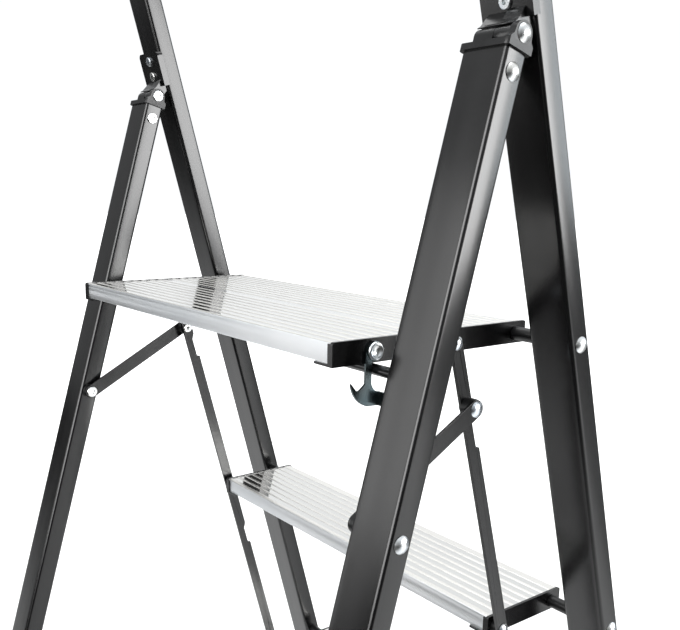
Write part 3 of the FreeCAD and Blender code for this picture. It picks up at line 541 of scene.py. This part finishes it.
DOME_SHARE = 0.88              # the rest of a head's height is its upright rim
HOLLOW_HEAD = 0.0032
HOLLOW_SHANK = 0.004
SOLID_HEAD = 0.0026
SOLID_SHANK = 0.003
TAIL_DEPTH = 0.0018            # flared tail of a hollow rivet, and the bore that opens in it
TAIL_ROUND = 0.0006
TAIL_SHARE = 0.9               # its radius as a share of the head's
BORE_RADIUS = 0.0026
BORE_ROUND = 0.0004
BORE_DEPTH = 0.0016


def dome_profile(radius, height, steps=12):
    """Low spherical dome that ends in a thin upright rim."""
    crown = height * DOME_SHARE
    ball = (radius ** 2 + crown ** 2) / (2 * crown)
    widest = math.asin(radius / ball)
    points = []
    for step in range(1, steps + 1):
        angle = widest * step / steps
        points.append((ball * math.sin(angle), ball * (1 - math.cos(angle))))
    points.append((radius, height))
    return points


def rivet_profile(radius, height, shank, length, hollow_tail):
    """Dome, shank and, on a hollow rivet, its flared tail."""
    points = dome_profile(radius, height) + [(shank, height)]
    if hollow_tail:
        flare = radius * TAIL_SHARE
        points += [(shank, length - TAIL_DEPTH), (flare, length - TAIL_DEPTH),
                   (flare, length - TAIL_ROUND), (flare - TAIL_ROUND, length),
                   (BORE_RADIUS + BORE_ROUND, length), (BORE_RADIUS, length - BORE_ROUND),
                   (BORE_RADIUS, length - BORE_DEPTH)]
    else:
        points.append((shank, length))
    return points


def make_rivets(node, body, height, shank, hollow_tail):
    """Turned rivets in the places of a CAD node's, with their heads outboard."""
    shape = bmesh.new()
    for low, high in parts_of(node):
        radius = (high.y - low.y) / 2
        middle = (low + high) / 2
        outward = 1 if middle.x > 0 else -1
        start = Vector((high.x if outward > 0 else low.x, middle.y, middle.z))
        profile = rivet_profile(radius, height, shank, high.x - low.x, hollow_tail)
        lathe(shape, profile, start, Vector((-outward, 0, 0)))
    add_piece(node + "_turned", shape, [MATERIALS["zinc"]], body, node)


# Radius and depth, from the middle of the dished head over its rim and back to the shank.
DISH_PROFILE = ((0.0004, 0.0024), (0.0020, 0.0022), (0.0032, 0.0017), (0.0041, 0.0009), (0.0047, 0.0003),
                (0.0052, 0.0), (0.0057, 0.0001), (0.0062, 0.0004), (0.0066, 0.0010), (0.0066, 0.0016),
                (0.0040, 0.0016))
DISH_SHANK = 0.0040


def make_hook_rivet():
    """Dished shoulder rivet that carries the safety hook."""
    low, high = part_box("hook_rivet")
    middle = (low + high) / 2
    shape = bmesh.new()
    profile = DISH_PROFILE + ((DISH_SHANK, high.x - low.x),)
    lathe(shape, profile, Vector((low.x, middle.y, middle.z)), Vector((1, 0, 0)))
    add_piece("hook_rivet_turned", shape, [MATERIALS["zinc"]], "platform", "hook_rivet")


HOLLOW_RIVETS = (("tread_pivot_rivets", "front_frame"), ("leg_cap_rivets", "rear_frame"),
                 ("hinge_pivot_rivets", "rear_frame"), ("brace_foot_rivets", "rear_frame"))
SOLID_RIVETS = (("platform_link_rivets", "platform"), ("upper_step_link_rivets", "upper_step"),
                ("lower_step_link_rivets", "lower_step"), ("brace_pin_heads", "braces"))


def make_all_rivets():
    """Every rivet whose head shows, but for the hinge brackets'."""
    for node, body in HOLLOW_RIVETS:
        make_rivets(node, body, HOLLOW_HEAD, HOLLOW_SHANK, True)
    for node, body in SOLID_RIVETS:
        make_rivets(node, body, SOLID_HEAD, SOLID_SHANK, False)
    make_hook_rivet()


# ------------------------------------------------------------------ treads
RIB_PITCH = 0.010
FLAT_WIDTH = 0.0064
RIB_HEIGHT = 0.0005
SHOULDER = 0.0017              # width of a rib's rounded side
SKIN = 0.003
LIP_HEIGHT = 0.015
LIP_WALL = 0.0025
LIP_FLANGE = 0.0055
WEB_PLACES = (0.66, 0.34)      # shares of a plank's depth
WEB_HALF = 0.001
WEB_FLANGE = 0.004
FLANGE_THICK = 0.002
NOSE_RADIUS = 0.0012
SEAM_RADIUS = 0.0004
SEAM_FLAT_FRONT = 0.0052       # flats on both sides of the platform's seam
SEAM_FLAT_REAR = 0.0082
TREAD_TOPS = {"platform": 0.75, "upper_step": 0.5, "lower_step": 0.25}
FIRST_FLAT = {
    "platform_front_plank": 0.0075,
    "platform_rear_plank": 0.015,
    "upper_step_plank": 0.013,
    "lower_step_plank": 0.013,
}


def quarter(y, z, width, height, start, steps=5):
    """Points of a quarter ellipse round Y, Z, turning clockwise from an angle in quarter turns."""
    points = []
    for step in range(steps + 1):
        angle = math.pi / 2 * (start - step / steps)
        points.append((y + width * math.cos(angle), z + height * math.sin(angle)))
    return points


def flats_of(node, depth):
    """Front and rear edges of the flats between a plank's ribs."""
    flats = []
    centre = FIRST_FLAT[node]
    while centre < depth - RIB_PITCH / 2:
        flats.append((centre - FLAT_WIDTH / 2, centre + FLAT_WIDTH / 2))
        centre += RIB_PITCH
    if node == "platform_front_plank":
        flats.append((depth - SEAM_FLAT_FRONT, depth))
    if node == "platform_rear_plank":
        flats.insert(0, (0, SEAM_FLAT_REAR))
    return flats


def tread_top(depth, flats):
    """Upper outline of a plank from its front edge to its rear edge, with its rounded ribs."""
    nose, nose_top = (NOSE_RADIUS, 0) if flats[0][0] > 0 else (SEAM_RADIUS, -RIB_HEIGHT)
    points = quarter(nose, nose_top - nose, nose, nose, 2)
    for front, rear in flats:
        if front > 0:
            points += quarter(front - SHOULDER, -RIB_HEIGHT, SHOULDER, RIB_HEIGHT, 1)
        if rear < depth:
            points += quarter(rear + SHOULDER, -RIB_HEIGHT, SHOULDER, RIB_HEIGHT, 2)
    nose, nose_top = (NOSE_RADIUS, 0) if flats[-1][1] < depth else (SEAM_RADIUS, -RIB_HEIGHT)
    return points + quarter(depth - nose, nose_top - nose, nose, nose, 1)


def tread_underside(depth):
    """Lower outline from the rear edge to the front: lips, skin and two webs with flanges."""
    foot_top = FLANGE_THICK - LIP_HEIGHT
    points = [(depth, -LIP_HEIGHT), (depth - LIP_FLANGE, -LIP_HEIGHT), (depth - LIP_FLANGE, foot_top),
              (depth - LIP_WALL, foot_top), (depth - LIP_WALL, -SKIN)]
    for share in WEB_PLACES:
        web = depth * share
        points += [(web + WEB_HALF, -SKIN), (web + WEB_HALF, foot_top), (web + WEB_FLANGE, foot_top),
                   (web + WEB_FLANGE, -LIP_HEIGHT), (web - WEB_FLANGE, -LIP_HEIGHT),
                   (web - WEB_FLANGE, foot_top), (web - WEB_HALF, foot_top), (web - WEB_HALF, -SKIN)]
    points += [(LIP_WALL, -SKIN), (LIP_WALL, foot_top), (LIP_FLANGE, foot_top),
               (LIP_FLANGE, -LIP_HEIGHT), (0, -LIP_HEIGHT)]
    return points


RIB_FOOT = -RIB_HEIGHT * 0.98   # the middle of each face of a rib lies above this
LEVEL = RIB_HEIGHT / 20        # most that the two edges of a flat differ in height
LIP_SLOT, RIB_SLOT, FLAT_SLOT = range(3)
PLANK_METALS = (LIP_METAL, RIB_METAL, FLAT_METAL)


def metal_of(first, second):
    """Material slot of the face between two heights of a plank's outline."""
    middle = (first + second) / 2
    if middle > RIB_FOOT:
        return RIB_SLOT
    if middle > -SKIN / 2 and abs(first - second) < LEVEL:
        return FLAT_SLOT
    return LIP_SLOT


def make_plank(node, body):
    """Ribbed extrusion that stands for a CAD plank."""
    low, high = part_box(node)
    depth = high.y - low.y
    outline = tread_top(depth, flats_of(node, depth)) + tread_underside(depth)
    shape = bmesh.new()
    ends = []
    for x in (low.x, high.x):
        ends.append([shape.verts.new((x, low.y + y, TREAD_TOPS[body] + z)) for y, z in outline])
    bridge(shape, *ends)
    for index, face in enumerate(shape.faces):
        face.material_index = metal_of(outline[index][1], outline[(index + 1) % len(outline)][1])
    for ring in ends:
        shape.faces.new(ring)
    add_piece(node + "_extrusion", shape, PLANK_METALS, body, node)


dress_nodes()
soften_nodes()
for side in ("left", "right"):
    make_tube("front_rail_" + side, "front_frame", False, FRONT_COAT)
    make_tube("rear_leg_" + side, "rear_frame", True, REAR_COAT)
make_all_rivets()
make_plank("platform_front_plank", "platform")
make_plank("platform_rear_plank", "platform")
make_plank("upper_step_plank", "upper_step")
make_plank("lower_step_plank", "lower_step")
make_floor()
make_lights()
make_surround()
make_camera()
bpy.context.scene.view_settings.view_transform = "Standard"
